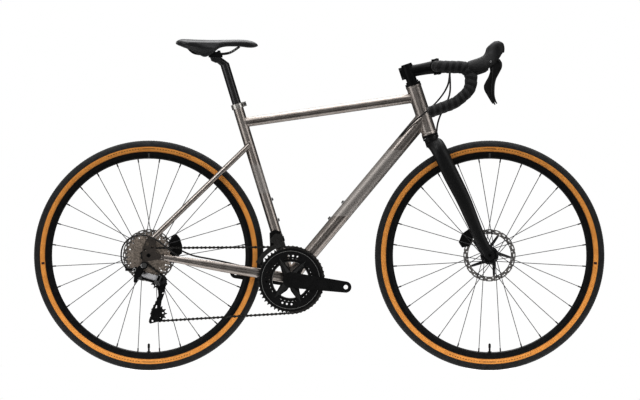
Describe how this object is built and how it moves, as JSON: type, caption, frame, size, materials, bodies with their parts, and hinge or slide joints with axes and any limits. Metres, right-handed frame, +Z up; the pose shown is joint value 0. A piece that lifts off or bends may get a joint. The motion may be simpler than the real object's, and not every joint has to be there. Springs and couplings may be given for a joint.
{
  "type": "road bicycle",
  "caption": "Bare metal road bicycle with drop bar, disc brakes, double chainring, derailleurs and spoked wheels.",
  "frame": {"origin": "on the ground, midway between the two wheel axles, in the bicycle's middle plane", "axes": "+X forward, +Y to the rider's left, +Z up; the chain is on the -Y side"},
  "size_m": [1.7449, 0.4606, 1.0125],
  "materials": {
    "titanium": "brushed bare titanium with matte blasted panels",
    "black_alloy": "satin black anodised",
    "steel": "ground stainless steel",
    "cassette_steel": "nickel-plated steel",
    "chain_steel": "dark plated steel, lightly oiled",
    "carbon": "satin black over carbon fibre",
    "tyre_rubber": "black tread with tan side walls",
    "rubber": "matte black moulded rubber",
    "tape": "wound matte black bar tape",
    "saddle_cover": "satin black synthetic leather",
    "plastic": "matte black plastic",
    "spoke_steel": "dark stainless steel spokes with black nipples",
    "silver": "polished silver"
  },
  "bodies": {
    "frame": {"head_tube": "titanium", "top_tube": "titanium", "down_tube": "titanium", "seat_tube": "titanium", "bottom_bracket_shell": "titanium", "chainstays": "titanium", "seatstays": "titanium", "dropouts": "titanium", "seat_clamp": "silver", "frame_bolts": "steel", "bearing_cups": "black_alloy", "front_derailleur_body": "black_alloy", "rear_brake_caliper": "black_alloy", "rear_thru_axle": "black_alloy", "rear_cables": "plastic", "chain": "chain_steel", "front_cables": "plastic"},
    "cockpit": {"fork": "carbon", "headset_spacers": "black_alloy", "stem": "black_alloy", "stem_faceplate": "black_alloy", "stem_bolts": "steel", "handlebar": "black_alloy", "bar_tape": "tape", "lever_hoods": "rubber", "front_brake_caliper": "black_alloy", "front_thru_axle": "black_alloy"},
    "front_wheel": {"front_tyre": "tyre_rubber", "front_rim": "black_alloy", "front_spokes": "spoke_steel", "front_hub": "black_alloy", "front_rotor": "steel"},
    "rear_wheel": {"rear_tyre": "tyre_rubber", "rear_rim": "black_alloy", "rear_spokes": "spoke_steel", "rear_hub": "black_alloy", "rear_rotor": "steel"},
    "seat": {"seatpost": "black_alloy", "rail_clamp": "black_alloy", "saddle_shell": "plastic", "saddle_cover": "saddle_cover", "saddle_rails": "steel"},
    "crankset": {"crank_arm_right": "black_alloy", "crank_arm_left": "black_alloy", "outer_chainring": "black_alloy", "inner_chainring": "black_alloy", "chainring_bolts": "steel"},
    "cassette": {"cassette": "cassette_steel"},
    "fd_cage": {"front_derailleur_cage": "steel"},
    "rd_knuckle": {"rd_knuckle": "black_alloy"},
    "rd_outer_link": {"rd_outer_link": "black_alloy"},
    "rd_inner_link": {"rd_inner_link": "black_alloy"},
    "rd_p_knuckle": {"rd_p_knuckle": "plastic"},
    "rd_cage": {"rd_cage": "black_alloy"},
    "guide_pulley": {"rd_guide_pulley": "plastic"},
    "tension_pulley": {"rd_tension_pulley": "plastic"},
    "lever_right": {"brake_lever_right": "black_alloy"},
    "lever_left": {"brake_lever_left": "black_alloy"},
    "paddle_right": {"shift_paddle_right": "plastic"},
    "paddle_left": {"shift_paddle_left": "plastic"}
  },
  "joints": [
    {"name": "steering", "type": "hinge", "parent": "frame", "child": "cockpit", "pos_m": [0.3381, 0, 0.7212], "axis": [-0.3173, 0, 0.9483], "range_deg": [-45, 45], "deforming": ["front_cables"]},
    {"name": "front_wheel_spin", "type": "hinge", "parent": "cockpit", "child": "front_wheel", "pos_m": [0.5215, 0, 0.351], "axis": [0, 1, 0], "continuous": true},
    {"name": "rear_wheel_spin", "type": "hinge", "parent": "frame", "child": "rear_wheel", "pos_m": [-0.5215, 0, 0.351], "axis": [0, 1, 0], "continuous": true},
    {"name": "crank_spin", "type": "hinge", "parent": "frame", "child": "crankset", "pos_m": [-0.0874, 0, 0.276], "axis": [0, 1, 0], "continuous": true, "deforming": ["chain"]},
    {"name": "cassette_spin", "type": "hinge", "parent": "frame", "child": "cassette", "pos_m": [-0.5215, 0, 0.351], "axis": [0, 1, 0], "continuous": true},
    {"name": "seatpost_slide", "type": "slide", "parent": "frame", "child": "seat", "axis": [-0.2924, 0, 0.9563], "range_m": [-0.1, 0.06]},
    {"name": "front_shift", "type": "slide", "parent": "frame", "child": "fd_cage", "axis": [0, 1, 0], "range_m": [0, 0.0072]},
    {"name": "rd_b_pivot", "type": "hinge", "parent": "frame", "child": "rd_knuckle", "pos_m": [-0.5345, -0.085, 0.321], "axis": [0, 1, 0], "range_deg": [0, 20], "stiffness_Nm_per_rad": 1.5, "springref_deg": -34.38, "deforming": ["rear_cables"]},
    {"name": "rear_shift", "type": "hinge", "parent": "rd_knuckle", "child": "rd_outer_link", "pos_m": [-0.54058, -0.08224, 0.29412], "axis": [0.3814, 0.4843, 0.7874], "range_deg": [0, 40]},
    {"name": "rd_inner_link_turn", "type": "hinge", "parent": "rd_knuckle", "child": "rd_inner_link", "pos_m": [-0.53942, -0.06976, 0.28588], "axis": [0.3814, 0.4843, 0.7874], "range_deg": [0, 40]},
    {"name": "rd_counter_turn", "type": "hinge", "parent": "rd_outer_link", "child": "rd_p_knuckle", "pos_m": [-0.49636, -0.09522, 0.28068], "axis": [0.3814, 0.4843, 0.7874], "range_deg": [-40, 0]},
    {"name": "rd_cage_swing", "type": "hinge", "parent": "rd_p_knuckle", "child": "rd_cage", "pos_m": [-0.481, -0.08, 0.277], "axis": [0, 1, 0], "range_deg": [-40, 25], "stiffness_Nm_per_rad": 0.2},
    {"name": "guide_pulley_spin", "type": "hinge", "parent": "rd_cage", "child": "guide_pulley", "pos_m": [-0.49, -0.064, 0.2703], "axis": [0, 1, 0], "continuous": true},
    {"name": "tension_pulley_spin", "type": "hinge", "parent": "rd_cage", "child": "tension_pulley", "pos_m": [-0.48998, -0.064, 0.1733], "axis": [0, 1, 0], "continuous": true},
    {"name": "brake_pull_right", "type": "hinge", "parent": "cockpit", "child": "lever_right", "pos_m": [0.529, -0.2055, 0.9405], "axis": [0, 1, 0], "range_deg": [0, 20], "stiffness_Nm_per_rad": 1, "springref_deg": -17.19},
    {"name": "shift_swing_right", "type": "hinge", "parent": "lever_right", "child": "paddle_right", "pos_m": [0.533, -0.1994, 0.9355], "axis": [1, 0, 0], "range_deg": [0, 12], "stiffness_Nm_per_rad": 0.4, "springref_deg": -17.19},
    {"name": "brake_pull_left", "type": "hinge", "parent": "cockpit", "child": "lever_left", "pos_m": [0.529, 0.2055, 0.9405], "axis": [0, 1, 0], "range_deg": [0, 20], "stiffness_Nm_per_rad": 1, "springref_deg": -17.19},
    {"name": "shift_swing_left", "type": "hinge", "parent": "lever_left", "child": "paddle_left", "pos_m": [0.533, 0.1994, 0.9355], "axis": [-1, 0, 0], "range_deg": [0, 12], "stiffness_Nm_per_rad": 0.4, "springref_deg": -17.19}
  ],
  "couplings": [
    {"joint": "cassette_spin", "follows": "crank_spin", "ratio": 4.5455},
    {"joint": "guide_pulley_spin", "follows": "crank_spin", "ratio": -4.5455},
    {"joint": "tension_pulley_spin", "follows": "crank_spin", "ratio": 4.5455},
    {"joint": "rd_inner_link_turn", "follows": "rear_shift", "ratio": 1},
    {"joint": "rd_counter_turn", "follows": "rear_shift", "ratio": -1}
  ]
}
